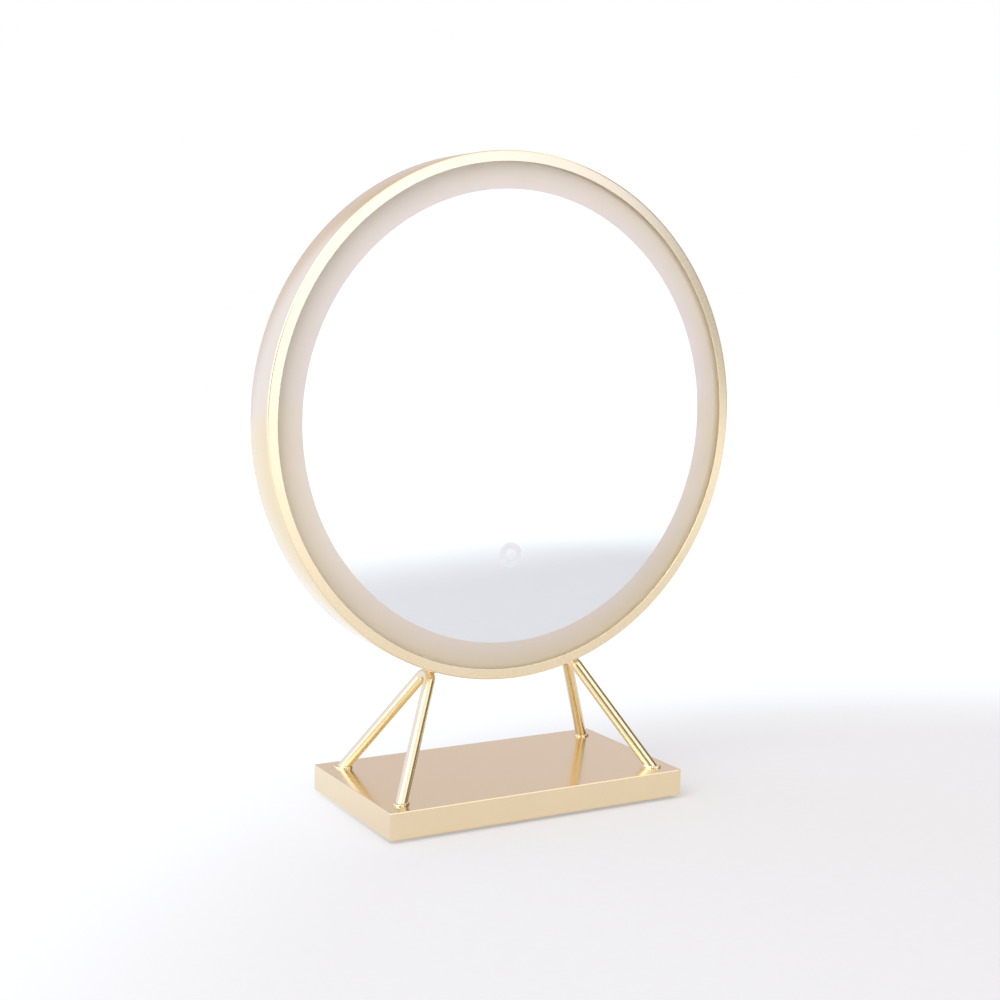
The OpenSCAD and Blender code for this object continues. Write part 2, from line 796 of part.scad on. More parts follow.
// Rubber feet, each with a recess for the screw that holds it and the plate.
module rubber_feet() {
    color([0.07, 0.07, 0.07]) for (x = [-1, 1], y = [-1, 1]) difference() {
        peg(x * foot_x, y * foot_y, foot_d, 0, foot_h);
        peg(x * foot_x, y * foot_y, screw_head_d + 1, -1, foot_h - 0.5);
        peg(x * foot_x, y * foot_y, screw_d + screw_gap, -1, foot_h + 1);
    }
}

// Flat-headed screws up through the feet and the plate into the weight.
module foot_screws() {
    color([0.6, 0.6, 0.62]) for (x = [-1, 1], y = [-1, 1]) {
        peg(x * foot_x, y * foot_y, screw_head_d, foot_h - 1.3, foot_h - 0.5);
        peg(x * foot_x, y * foot_y, screw_d, foot_h - 0.5, plate_top + foot_screw_up - 0.5);
    }
}

frame_drum();
front_rim();
mirror_glass();
silver_coating();
light_diffuser();
inner_tray();
tray_screws();
mirror_foam();
led_strip();
led_chips();
panel_brackets();
back_panel();
panel_screws();
driver_case();
driver_lid();
driver_board();
driver_parts();
touch_foam();
touch_board();
touch_leds();
inlet_body();
inlet_pin();
inlet_nut();
inlet_terminals();
supply_lead();
led_lead();
sensor_lead();
left_front_leg();
left_rear_leg();
right_front_leg();
right_rear_leg();
head_welds();
base_welds();
base_shell();
counterweight();
weight_studs();
weight_spacers();
weight_nuts();
bottom_plate();
rubber_feet();
foot_screws();
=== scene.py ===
import math
import random

import bmesh
import bpy
from mathutils import Euler, Matrix, Vector


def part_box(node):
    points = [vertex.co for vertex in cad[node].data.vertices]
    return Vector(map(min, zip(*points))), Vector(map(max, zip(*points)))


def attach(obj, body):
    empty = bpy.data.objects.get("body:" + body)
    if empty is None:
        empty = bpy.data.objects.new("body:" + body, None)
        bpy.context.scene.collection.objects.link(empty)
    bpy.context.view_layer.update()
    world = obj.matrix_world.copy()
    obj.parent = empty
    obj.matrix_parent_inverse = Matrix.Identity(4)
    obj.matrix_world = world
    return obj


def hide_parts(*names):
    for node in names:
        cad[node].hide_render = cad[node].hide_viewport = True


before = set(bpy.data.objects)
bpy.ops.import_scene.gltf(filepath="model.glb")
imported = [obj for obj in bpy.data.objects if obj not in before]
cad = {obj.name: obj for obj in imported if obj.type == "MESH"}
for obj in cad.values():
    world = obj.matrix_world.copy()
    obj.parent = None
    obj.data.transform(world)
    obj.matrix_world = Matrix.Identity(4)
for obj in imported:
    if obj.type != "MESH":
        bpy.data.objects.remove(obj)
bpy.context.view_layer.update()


# ---- Camera ----
# A portrait lens stands a little above the mirror's centre, to the left of its
# face, and is turned slightly about its own axis.
MM = 0.001
scene = bpy.context.scene
camera_place = Vector((-610.9, -1067.5, 383.7)) * MM
camera_yaw = math.radians(29.655)
camera_pitch = math.radians(-6.927)
camera_roll = math.radians(1.131)
bpy.ops.object.camera_add(location=camera_place)
camera = bpy.context.object
camera.name = "view_camera"
camera.data.sensor_width, camera.data.lens = 36, 57.9
camera.data.clip_start, camera.data.clip_end = 0.05, 60
turn = Euler((math.pi / 2 + camera_pitch, 0, -camera_yaw), "XYZ").to_matrix()
camera.rotation_euler = (turn @ Matrix.Rotation(camera_roll, 3, "Z")).to_euler()
scene.camera = camera


# ---- Table top ----
# A pale sheet of paper lies on a lit studio table. Away from a spot in front of the
# mirror and beyond a slanting line in front, it is painted with a white glow that
# meets the white of the studio; the glow also pales the shade round the base's left and back.
table_size, table_drop = 9.0, 0.4 * MM
bpy.ops.mesh.primitive_plane_add(size=table_size, location=(0, 0, -table_drop))
table = bpy.context.object
table.name = "studio_table"
table.data.name = "studio_table"
paper = bpy.data.materials.new("studio_paper")
paper.use_nodes = True
nodes, links = paper.node_tree.nodes, paper.node_tree.links
surface = nodes["Principled BSDF"]
# the table shines through the sheet, so shadows stay pale
for name, value in (("Roughness", 0.75), ("Specular IOR Level", 0.25),
                    ("Emission Color", (1, 0.985, 0.99, 1)), ("Emission Strength", 0.33)):
    surface.inputs[name].default_value = value
place = nodes.new("ShaderNodeTexCoord")
fibre = nodes.new("ShaderNodeTexNoise")
fibre.inputs["Scale"].default_value = 90
tone = nodes.new("ShaderNodeMix")
tone.data_type = "RGBA"
tone.inputs[6].default_value = (0.46, 0.452, 0.456, 1)
tone.inputs[7].default_value = (0.475, 0.468, 0.471, 1)
links.new(place.outputs["Object"], fibre.inputs["Vector"])
links.new(fibre.outputs["Fac"], tone.inputs[0])
links.new(tone.outputs[2], surface.inputs["Base Color"])
before = surface.outputs[0]
# how the place on the sheet is measured, against what, from where to where it
# turns to a painted white glow, and that glow's colour and strength: away from a
# spot, then across a slanting line in front
for measure, against, start, end, colour, strength in (
        ("DISTANCE", (0.25, -0.62, 0), 0.62, 0.92, (0.94, 0.965, 1, 1), 1.1),
        ("DOT_PRODUCT", (0.27, 1, 0), -0.75, -1.22, (1, 1, 1, 1), 1.35)):
    reach = nodes.new("ShaderNodeVectorMath")
    reach.operation = measure
    reach.inputs[1].default_value = against
    links.new(place.outputs["Object"], reach.inputs[0])
    share = nodes.new("ShaderNodeMapRange")
    share.interpolation_type = "SMOOTHSTEP"
    share.inputs["From Min"].default_value = start
    share.inputs["From Max"].default_value = end
    links.new(reach.outputs["Value"], share.inputs["Value"])
    painted_glow = nodes.new("ShaderNodeEmission")
    painted_glow.inputs["Color"].default_value = colour
    painted_glow.inputs["Strength"].default_value = strength
    blend = nodes.new("ShaderNodeMixShader")
    links.new(share.outputs[0], blend.inputs[0])
    links.new(before, blend.inputs[1])
    links.new(painted_glow.outputs[0], blend.inputs[2])
    before = blend.outputs[0]
links.new(before, nodes["Material Output"].inputs["Surface"])
table.data.materials.append(paper)


# ---- Studio light ----
# Soft white surroundings, seen in the gold and in the mirror only as light and dark
# zones. One large soft box hangs above on the left.
scene.view_settings.view_transform = "Standard"
studio = bpy.data.worlds.new("studio")
scene.world = studio
studio.use_nodes = True
nodes, links = studio.node_tree.nodes, studio.node_tree.links
sky = nodes["Background"]
place = nodes.new("ShaderNodeTexCoord")


def facing(direction, start, end):
    """How far the surroundings lie towards a direction, from 0 at start to 1 at end."""
    dot = nodes.new("ShaderNodeVectorMath")
    dot.operation = "DOT_PRODUCT"
    dot.inputs[1].default_value = Vector(direction).normalized()
    links.new(place.outputs["Generated"], dot.inputs[0])
    ease = nodes.new("ShaderNodeMapRange")
    ease.interpolation_type = "SMOOTHSTEP"
    ease.inputs["From Min"].default_value = start
    ease.inputs["From Max"].default_value = end
    links.new(dot.outputs["Value"], ease.inputs["Value"])
    return ease.outputs[0]


def tint(before, share, colour):
    """Blends the surroundings' colour so far towards another."""
    mix = nodes.new("ShaderNodeMix")
    mix.data_type = "RGBA"
    mix.clamp_result = False
    links.new(share, mix.inputs[0])
    if isinstance(before, tuple):
        mix.inputs[6].default_value = before
    else:
        links.new(before, mix.inputs[6])
    mix.inputs[7].default_value = (*colour, 1)
    return mix.outputs[2]


light = (1.5, 1.5, 1.5, 1)
for direction, start, end, colour in (
        ((0, 0, 1), 0.45, 0.95, (1.05, 1.04, 1.03)),               # ceiling
        ((-0.75, 0.66, 0.12), 0.35, 0.85, (0.98, 1.07, 1.42)),     # daylight, back left
        ((0.25, 0.62, 0.74), 0.86, 0.95, (0.36, 0.34, 0.31)),      # dim upper back
        ((0.45, 0.85, 0.25), 0.60, 0.88, (0.74, 0.665, 0.65)),     # rose wall, back right
        ((-0.93, -0.28, 0.22), 0.86, 0.97, (2.4, 2.4, 2.4)),       # window, left
        ((0.45, -0.89, 0.0), 0.955, 0.985, (1.32, 1.45, 1.95)),    # cool window, front
        ((0.98, -0.15, 0.0), 0.708, 0.735, (0.22, 0.20, 0.17)),    # dark wall, right
        ((-0.45, -0.89, 0.05), 0.85, 0.955, (0.20, 0.175, 0.14))):  # camera's place
    light = tint(light, facing(direction, start, end), colour)
ray = nodes.new("ShaderNodeLightPath")
backdrop = nodes.new("ShaderNodeMix")
backdrop.data_type = "RGBA"
links.new(ray.outputs["Is Camera Ray"], backdrop.inputs[0])
links.new(light, backdrop.inputs[6])
backdrop.inputs[7].default_value = (1, 1, 1, 1)
links.new(backdrop.outputs[2], sky.inputs["Color"])
box_place, box_target, box_width = Vector((-1.3, -0.7, 1.7)), Vector((0, 0, 0.3)), 1.2
bpy.ops.object.light_add(type="AREA", location=box_place)
soft_box = bpy.context.object
soft_box.name = "soft_box"
soft_box.data.shape = "SQUARE"
soft_box.data.size = box_width
soft_box.data.energy = 13
soft_box.rotation_euler = (box_target - box_place).to_track_quat("-Z", "Y").to_euler()


# ---- Frame drum ----
# The round frame is a band of steel sheet, rolled and welded into a drum. Its
# rear edge is eased, and it is sprayed champagne gold with a satin lacquer.
head_low, head_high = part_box("frame_drum")
head_z = (head_low.z + head_high.z) / 2
head_r = round((head_high.z - head_low.z) / 2, 4)
drum_back = head_high.y
drum_front = head_low.y
sheet = 1.5 * MM
drum_eased_r, front_eased_r = 0.45 * MM, 0.2 * MM
NEAR = 0.01 * MM
ROUND = 256


def start_section(name, r0, r1, y0, y1, z=None):
    """Opens edit mode on a rectangle in the plane of the head's axis, from radius
    r0 to r1 and from depth y0 to y1."""
    bpy.ops.object.select_all(action="DESELECT")
    middle = Vector(((r0 + r1) / 2, (y0 + y1) / 2, head_z if z is None else z))
    bpy.ops.mesh.primitive_plane_add(size=1, location=middle)
    piece = bpy.context.object
    piece.name = name
    piece.data.name = name
    bpy.ops.object.mode_set(mode="EDIT")
    bpy.ops.transform.resize(value=(r1 - r0, abs(y1 - y0), 1), center_override=middle)
    bpy.ops.object.mode_set(mode="OBJECT")
    bpy.ops.object.transform_apply(location=True, rotation=True, scale=True)
    bpy.ops.object.mode_set(mode="EDIT")
    return piece


def pick(piece, kind, test):
    """Selects the corners, edges or faces whose middle passes the test."""
    modes = {"verts": "VERT", "edges": "EDGE", "faces": "FACE"}
    bpy.ops.mesh.select_mode(type=modes[kind])
    bpy.ops.mesh.select_all(action="DESELECT")
    mesh = bmesh.from_edit_mesh(piece.data)
    for part in getattr(mesh, kind):
        if kind == "verts":
            middle = part.co
        elif kind == "edges":
            middle = (part.verts[0].co + part.verts[1].co) / 2
        else:
            middle = part.calc_center_median()
        part.select_set(bool(test(middle)))
    mesh.select_flush_mode()
    bmesh.update_edit_mesh(piece.data)


def round_corners(piece, radius, test, steps=4):
    """Rounds the corners of a section that pass the test."""
    pick(piece, "verts", test)
    bpy.ops.mesh.bevel(offset=radius, segments=steps, affect="VERTICES")


def spin_section(piece, z=None, steps=ROUND):
    """Spins the open section once round an axis at height z and closes the ring."""
    bpy.ops.mesh.select_all(action="SELECT")
    bpy.ops.mesh.delete(type="ONLY_FACE")
    bpy.ops.mesh.select_all(action="SELECT")
    bpy.ops.mesh.spin(steps=steps, angle=2 * math.pi, axis=(0, 1, 0),
                      center=(0, 0, head_z if z is None else z))
    finish_mesh(piece)


def finish_mesh(piece, crease=32):
    """Merges doubles, turns the normals outwards and smooths all but creases."""
    bpy.ops.mesh.select_all(action="SELECT")
    bpy.ops.mesh.remove_doubles(threshold=0.000002)
    bpy.ops.mesh.normals_make_consistent(inside=False)
    bpy.ops.object.mode_set(mode="OBJECT")
    bpy.ops.object.shade_smooth_by_angle(angle=math.radians(crease))


def even_faces(piece):
    """Shades flat faces flat, so that only the rounded edges turn the light."""
    even = piece.modifiers.new("even_faces", "WEIGHTED_NORMAL")
    even.keep_sharp = True
    bpy.ops.object.modifier_apply(modifier="even_faces")


drum = start_section("drum_band", head_r - sheet, head_r, drum_front, drum_back)
round_corners(drum, drum_eased_r, lambda p: p.y > drum_back - NEAR)
round_corners(drum, front_eased_r,
              lambda p: p.y < drum_front + NEAR and p.x > head_r - NEAR, 2)
spin_section(drum)


def flake_group():
    """Metallic paint: fine flakes that differ in tone and tilt, over the faint
    orange peel of a sprayed lacquer."""
    group = bpy.data.node_groups.new("sprayed metallic", "ShaderNodeTree")
    face = group.interface
    for name, kind, value in (
        ("Flake Scale", "NodeSocketFloat", 2600),
        ("Flake Strength", "NodeSocketFloat", 0.5),
        ("Peel Scale", "NodeSocketFloat", 420),
        ("Peel Height", "NodeSocketFloat", 0.3),
    ):
        face.new_socket(name=name, in_out="INPUT", socket_type=kind).default_value = value
    for name in ("Tone", "Gloss", "Height"):
        face.new_socket(name=name, in_out="OUTPUT", socket_type="NodeSocketFloat")
    n, w = group.nodes, group.links
    given = n.new("NodeGroupInput")
    result = n.new("NodeGroupOutput")
    where = n.new("ShaderNodeTexCoord")
    flakes = n.new("ShaderNodeTexVoronoi")
    w.new(where.outputs["Object"], flakes.inputs["Vector"])
    w.new(given.outputs["Flake Scale"], flakes.inputs["Scale"])
    grey = n.new("ShaderNodeSeparateColor")
    w.new(flakes.outputs["Color"], grey.inputs[0])
    cloud = n.new("ShaderNodeTexNoise")
    cloud.inputs["Scale"].default_value = 14
    cloud.inputs["Detail"].default_value = 3
    w.new(where.outputs["Object"], cloud.inputs["Vector"])
    sparkle = n.new("ShaderNodeMath")
    sparkle.operation = "MULTIPLY_ADD"
    w.new(grey.outputs[0], sparkle.inputs[0])
    w.new(given.outputs["Flake Strength"], sparkle.inputs[1])
    half = n.new("ShaderNodeMath")
    half.operation = "MULTIPLY"
    half.inputs[1].default_value = 0.5
    w.new(cloud.outputs["Fac"], half.inputs[0])
    w.new(half.outputs[0], sparkle.inputs[2])
    w.new(sparkle.outputs[0], result.inputs["Tone"])
    w.new(grey.outputs[1], result.inputs["Gloss"])
    peel = n.new("ShaderNodeTexNoise")
    peel.inputs["Detail"].default_value = 2
    w.new(where.outputs["Object"], peel.inputs["Vector"])
    w.new(given.outputs["Peel Scale"], peel.inputs["Scale"])
    lift = n.new("ShaderNodeMath")
    lift.operation = "MULTIPLY"
    w.new(peel.outputs["Fac"], lift.inputs[0])
    w.new(given.outputs["Peel Height"], lift.inputs[1])
    w.new(lift.outputs[0], result.inputs["Height"])
    return group


sprayed_metallic = flake_group()


def use_group(material, group, **values):
    """Places a node group in a material and sets its inputs by name."""
    node = material.node_tree.nodes.new("ShaderNodeGroup")
    node.node_tree = group
    for name, value in values.items():
        node.inputs[name.replace("_", " ")].default_value = value
    return node


def ramp_colour(material, factor, low, high):
    """Colour between two, by a factor from 0 to 1."""
    mix = material.node_tree.nodes.new("ShaderNodeMix")
    mix.data_type = "RGBA"
    mix.inputs[6].default_value = (*low, 1)
    mix.inputs[7].default_value = (*high, 1)
    material.node_tree.links.new(factor, mix.inputs[0])
    return mix.outputs[2]


def ramp_value(material, factor, low, high):
    """Value between two, by a factor from 0 to 1."""
    span = material.node_tree.nodes.new("ShaderNodeMapRange")
    span.inputs["To Min"].default_value = low
    span.inputs["To Max"].default_value = high
    material.node_tree.links.new(factor, span.inputs["Value"])
    return span.outputs[0]


def bump(material, height, distance):
    """Turns a height into a normal for the material's shader."""
    relief = material.node_tree.nodes.new("ShaderNodeBump")
    relief.inputs["Distance"].default_value = distance
    relief.inputs["Strength"].default_value = 1
    material.node_tree.links.new(height, relief.inputs["Height"])
    shader = material.node_tree.nodes["Principled BSDF"]
    material.node_tree.links.new(relief.outputs[0], shader.inputs["Normal"])


def gold_paint(name, low, high, rough, coat=1.0, peel=0.3):
    """Champagne gold metallic paint under a clear satin lacquer."""
    material = bpy.data.materials.new(name)
    material.use_nodes = True
    shader = material.node_tree.nodes["Principled BSDF"]
    shader.inputs["Metallic"].default_value = 1
    shader.inputs["Coat Weight"].default_value = coat
    shader.inputs["Coat Roughness"].default_value = 0.12
    spray = use_group(material, sprayed_metallic, Peel_Height=peel)
    join = material.node_tree.links.new
    join(ramp_colour(material, spray.outputs["Tone"], low, high), shader.inputs["Base Color"])
    join(ramp_value(material, spray.outputs["Gloss"], rough - 0.03, rough + 0.04),
         shader.inputs["Roughness"])
    bump(material, spray.outputs["Height"], 0.00002)
    return material


def dress(piece, material, slot, *stands_for):
    """Gives a new piece its material and hands it to the frame."""
    piece.data.materials.clear()
    piece.data.materials.append(material)
    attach(piece, "root")
    if stands_for:
        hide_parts(*stands_for)


champagne = gold_paint("champagne_paint", (0.80, 0.65, 0.42), (0.90, 0.75, 0.52), 0.30)
dress(drum, champagne, "gold_paint", "frame_drum")


# ---- Front rim ----
# An L-section ring covers the drum's front edge: a gold face 8 mm wide that falls
# slightly outwards, with rolled edges, and a skirt bonded inside the drum.
rim_low, rim_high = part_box("front_rim")
rim_front = rim_low.y
rim_w, rim_fall = 8 * MM, 0.28 * MM
rolled_r, inner_r, back_r = 1.2 * MM, 0.3 * MM, 0.2 * MM
rim_back = rim_front + sheet
skirt_r = head_r - 2 * sheet
rim = start_section("rim_ring", head_r - rim_w, head_r, rim_front, rim_back)
for r in (skirt_r, head_r - sheet):
    bpy.ops.mesh.select_all(action="SELECT")
    bpy.ops.mesh.bisect(plane_co=(r, 0, 0), plane_no=(1, 0, 0))
pick(rim, "edges", lambda p: abs(p.y - rim_back) < NEAR and skirt_r < p.x < head_r - sheet)
bpy.ops.mesh.extrude_region_move(
    TRANSFORM_OT_translate={"value": (0, rim_high.y - rim_back, 0)})
bpy.ops.mesh.select_mode(type="FACE")
bpy.ops.mesh.select_all(action="SELECT")
bpy.ops.mesh.dissolve_faces(use_verts=True)
pick(rim, "verts", lambda p: p.y < rim_front + NEAR and p.x > head_r - NEAR)
bpy.ops.transform.translate(value=(0, rim_fall, 0))
round_corners(rim, rolled_r,
              lambda p: p.y < rim_front + rim_fall + NEAR and p.x > head_r - NEAR, 6)
round_corners(rim, inner_r,
              lambda p: p.y < rim_front + NEAR and p.x < head_r - rim_w + NEAR, 4)
round_corners(rim, back_r,
              lambda p: p.y > rim_back - back_r / 2 and p.x > head_r - back_r / 2, 2)
spin_section(rim)
even_faces(rim)
rim_gold = gold_paint("rim_paint", (0.84, 0.69, 0.45), (0.93, 0.79, 0.55), 0.26)
dress(rim, rim_gold, "rim_gold_paint", "front_rim")


# ---- Mirror glass ----
# A disc of clear 4 mm float glass with a ground and polished edge. It shows its
# own faint green in its thickness, and lets lamps through to what lies behind.
glass_low, glass_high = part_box("mirror_glass")
glass_r, ground_edge = round((glass_high.x - glass_low.x) / 2, 4), 0.5 * MM


def round_plate(name, radius, y_front, y_back, edge=0.0):
    """Makes a flat disc that faces the front, with its edges ground by edge."""
    bpy.ops.object.select_all(action="DESELECT")
    bpy.ops.mesh.primitive_circle_add(
        vertices=ROUND, radius=radius, fill_type="NGON",
        location=(0, y_back, head_z), rotation=(math.pi / 2, 0, 0))
    piece = bpy.context.object
    piece.name = name
    piece.data.name = name
    bpy.ops.object.transform_apply(location=True, rotation=True, scale=True)
    bpy.ops.object.mode_set(mode="EDIT")
    bpy.ops.mesh.select_all(action="SELECT")
    bpy.ops.mesh.extrude_region_move(
        TRANSFORM_OT_translate={"value": (0, y_front - y_back, 0)})
    if edge:
        for y in (y_front, y_back):
            pick(piece, "faces", lambda p: abs(p.y - y) < NEAR)
            bpy.ops.mesh.region_to_loop()
            bpy.ops.mesh.bevel(offset=edge, segments=2, affect="EDGES")
    return piece


pane = round_plate("mirror_pane", glass_r, glass_low.y, glass_high.y, ground_edge)
finish_mesh(pane, 20)
clear = bpy.data.materials.new("float_glass")
clear.use_nodes = True
nodes, links = clear.node_tree.nodes, clear.node_tree.links
shader = nodes["Principled BSDF"]
for name, value in (("Transmission Weight", 1), ("IOR", 1.5), ("Roughness", 0)):
    shader.inputs[name].default_value = value
wipe = nodes.new("ShaderNodeTexNoise")
wipe.inputs["Scale"].default_value = 9
where = nodes.new("ShaderNodeTexCoord")
links.new(where.outputs["Object"], wipe.inputs["Vector"])
links.new(ramp_colour(clear, wipe.outputs["Fac"], (0.975, 0.985, 0.985), (0.985, 0.992, 0.992)),
          shader.inputs["Base Color"])
ray = nodes.new("ShaderNodeLightPath")
passing = nodes.new("ShaderNodeBsdfTransparent")
passing.inputs["Color"].default_value = (0.95, 0.965, 0.965, 1)
either = nodes.new("ShaderNodeMixShader")
links.new(ray.outputs["Is Shadow Ray"], either.inputs[0])
links.new(shader.outputs[0], either.inputs[1])
links.new(passing.outputs[0], either.inputs[2])
links.new(either.outputs[0], nodes["Material Output"].inputs["Surface"])
dress(pane, clear, "clear_glass", "mirror_glass")


# ---- Silvering ----
# Silver is laid on the back of the glass as a smaller disc and sealed with paint,
# so the mirror itself starts 20 mm inside the rim.
silver_low, silver_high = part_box("silver_coating")
silver_r = round((silver_high.x - silver_low.x) / 2, 4)
gap = 0.02 * MM
coating = round_plate("silver_disc", silver_r, silver_low.y + gap, silver_high.y)
finish_mesh(coating)
silver = bpy.data.materials.new("silvering")
silver.use_nodes = True
nodes, links = silver.node_tree.nodes, silver.node_tree.links
shader = nodes["Principled BSDF"]
shader.inputs["Metallic"].default_value = 1
cloud = nodes.new("ShaderNodeTexNoise")
cloud.inputs["Scale"].default_value = 6
where = nodes.new("ShaderNodeTexCoord")
links.new(where.outputs["Object"], cloud.inputs["Vector"])
links.new(ramp_colour(silver, cloud.outputs["Fac"], (0.86, 0.88, 0.90), (0.88, 0.895, 0.915)),
          shader.inputs["Base Color"])
links.new(ramp_value(silver, cloud.outputs["Fac"], 0.0, 0.012), shader.inputs["Roughness"])
dress(coating, silver, "silvering", "silver_coating")


# ---- Touch key mark ----
# The key is a ring sandblasted into the back of the glass. It is left clear of
# silver, so that the key's small lights glow through it, round a silvered spot.
key_rise, key_in, key_out = 68 * MM, 4.5 * MM, 9.75 * MM
key_z = head_z - silver_r + key_rise
mark = start_section("key_mark", key_in, key_out, silver_low.y, silver_low.y + gap, key_z)
spin_section(mark, key_z, 96)


def grain_group():
    """Fine grain of a blasted, moulded or powder-coated surface."""
    group = bpy.data.node_groups.new("fine grain", "ShaderNodeTree")
    face = group.interface
    for name, value in (("Scale", 900), ("Cloud Scale", 20)):
        face.new_socket(name=name, in_out="INPUT",
                        socket_type="NodeSocketFloat").default_value = value
    for name in ("Grain", "Cloud"):
        face.new_socket(name=name, in_out="OUTPUT", socket_type="NodeSocketFloat")
    n, w = group.nodes, group.links
    given = n.new("NodeGroupInput")
    result = n.new("NodeGroupOutput")
    where = n.new("ShaderNodeTexCoord")
    for scale, out, detail in (("Scale", "Grain", 4), ("Cloud Scale", "Cloud", 3)):
        noise = n.new("ShaderNodeTexNoise")
        noise.inputs["Detail"].default_value = detail
        w.new(where.outputs["Object"], noise.inputs["Vector"])
        w.new(given.outputs[scale], noise.inputs["Scale"])
        w.new(noise.outputs["Fac"], result.inputs[out])
    return group


fine_grain = grain_group()


def grained(name, low, high, rough, scale=900, height=0.00003, metallic=0.0):
    """Solid-coloured material with a fine grain and a faint change of tone."""
    material = bpy.data.materials.new(name)
    material.use_nodes = True
    shader = material.node_tree.nodes["Principled BSDF"]
    shader.inputs["Metallic"].default_value = metallic
    grain = use_group(material, fine_grain, Scale=scale)
    join = material.node_tree.links.new
    join(ramp_colour(material, grain.outputs["Cloud"], low, high), shader.inputs["Base Color"])
    join(ramp_value(material, grain.outputs["Grain"], rough - 0.06, rough + 0.06),
         shader.inputs["Roughness"])
    bump(material, grain.outputs["Grain"], height)
    return material


blasted = grained("blasted_mark", (0.88, 0.89, 0.90), (0.94, 0.94, 0.95), 0.38, 2600,
                  metallic=0.85)
dress(mark, blasted, "silvering")


# ---- Lit band ----
# Outside the silvering the glass is etched, and an opal acrylic ring behind it
# spreads the light. Unlit, it is a pale pinkish beige, with a painted warm
# reflection of the gold rim towards its outer edge.
band_low, band_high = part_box("light_diffuser")
band_r = round((band_high.x - band_low.x) / 2, 4)
band = start_section("lit_band", silver_r + gap, band_r, band_low.y + gap, band_high.y)
spin_section(band)
opal = bpy.data.materials.new("etched_band")
opal.use_nodes = True
nodes, links = opal.node_tree.nodes, opal.node_tree.links
shader = nodes["Principled BSDF"]
grain = use_group(opal, fine_grain, Scale=2200, Cloud_Scale=7)
where = nodes.new("ShaderNodeTexCoord")
centre = nodes.new("ShaderNodeMapping")
centre.inputs["Location"].default_value = (0, 0, -head_z)
centre.inputs["Scale"].default_value = (1, 0, 1)
links.new(where.outputs["Object"], centre.inputs["Vector"])
reach = nodes.new("ShaderNodeVectorMath")
reach.operation = "LENGTH"
links.new(centre.outputs["Vector"], reach.inputs[0])
# painted reflection: the band's colour turns warm gold towards the rim, in place of the rim's
# reflected light
painted_reflection_share = nodes.new("ShaderNodeMapRange")
painted_reflection_share.inputs["From Min"].default_value = silver_r
painted_reflection_share.inputs["From Max"].default_value = head_r - rim_w
painted_reflection_share.interpolation_type = "SMOOTHSTEP"
links.new(reach.outputs["Value"], painted_reflection_share.inputs["Value"])
pale = ramp_colour(opal, grain.outputs["Cloud"], (0.81, 0.68, 0.58), (0.87, 0.735, 0.64))
painted_rim_reflection = nodes.new("ShaderNodeMix")
painted_rim_reflection.data_type = "RGBA"
links.new(painted_reflection_share.outputs[0], painted_rim_reflection.inputs[0])
links.new(pale, painted_rim_reflection.inputs[6])
painted_rim_reflection.inputs[7].default_value = (0.80, 0.665, 0.475, 1)
links.new(painted_rim_reflection.outputs[2], shader.inputs["Base Color"])
links.new(ramp_value(opal, grain.outputs["Grain"], 0.45, 0.6), shader.inputs["Roughness"])
bump(opal, grain.outputs["Grain"], 0.00003)
dress(band, opal, "opal_diffuser", "light_diffuser")


def carry(material, *names):
    """Gives carried-over parts their material."""
    for name in names:
        cad[name].data.materials.clear()
        cad[name].data.materials.append(material)


white_plastic = grained("moulded_white", (0.79, 0.79, 0.77), (0.84, 0.84, 0.82), 0.42,
                        800, 0.00005)
bright_zinc = grained("zinc_screws", (0.60, 0.61, 0.63), (0.72, 0.73, 0.75), 0.3,
                      500, 0.00001, 1.0)
carry(white_plastic, "inner_tray", "driver_case", "driver_lid")
carry(bright_zinc, "tray_screws")


# ---- Mirror foam ----
# A ring of black closed-cell foam, sticky on both sides, bonds the glass to the
# tray and keeps it from rattling.
foam = grained("black_foam", (0.018, 0.018, 0.019), (0.032, 0.032, 0.033), 0.9, 1500, 0.0003)
carry(foam, "mirror_foam", "touch_foam")


# ---- Light strip ----
# A white flexible strip is stuck round the inside of the tray's outer wall, with
# square light chips under yellow phosphor, facing inwards.
film = grained("strip_film", (0.80, 0.79, 0.73), (0.86, 0.85, 0.79), 0.32, 300, 0.00001)
phosphor = grained("phosphor", (0.86, 0.62, 0.16), (0.93, 0.72, 0.24), 0.5, 1800, 0.00004)
carry(film, "led_strip")
carry(phosphor, "led_chips", "touch_leds")


# ---- Brackets ----
# Six C-section brackets, cut and folded from galvanised sheet, are spot-welded
# inside the drum. Their zinc shows a spangle.
galvanised = grained("galvanised", (0.46, 0.47, 0.48), (0.66, 0.67, 0.68), 0.42, 260, 0.00002, 1.0)
nodes, links = galvanised.node_tree.nodes, galvanised.node_tree.links
where = nodes.new("ShaderNodeTexCoord")
spangle = nodes.new("ShaderNodeTexVoronoi")
spangle.inputs["Scale"].default_value = 190
links.new(where.outputs["Object"], spangle.inputs["Vector"])
crystal = nodes.new("ShaderNodeSeparateColor")
links.new(spangle.outputs["Color"], crystal.inputs[0])
links.new(ramp_colour(galvanised, crystal.outputs[0], (0.44, 0.45, 0.47), (0.68, 0.69, 0.70)),
          nodes["Principled BSDF"].inputs["Base Color"])
carry(galvanised, "panel_brackets")


def join_pieces(parts, name):
    """Joins like solids into one piece."""
    bpy.ops.object.select_all(action="DESELECT")
    for part in parts:
        part.select_set(True)
    bpy.context.view_layer.objects.active = parts[0]
    bpy.ops.object.join()
    parts[0].name = name
    parts[0].data.name = name
    return parts[0]


def cut_out(piece, cutter):
    """Cuts one solid out of another and throws the cutter away."""
    bpy.ops.object.select_all(action="DESELECT")
    piece.select_set(True)
    bpy.context.view_layer.objects.active = piece
    hole = piece.modifiers.new("hole", "BOOLEAN")
    hole.operation = "DIFFERENCE"
    hole.solver = "EXACT"
    hole.object = cutter
    bpy.ops.object.modifier_apply(modifier="hole")
    bpy.data.objects.remove(cutter)


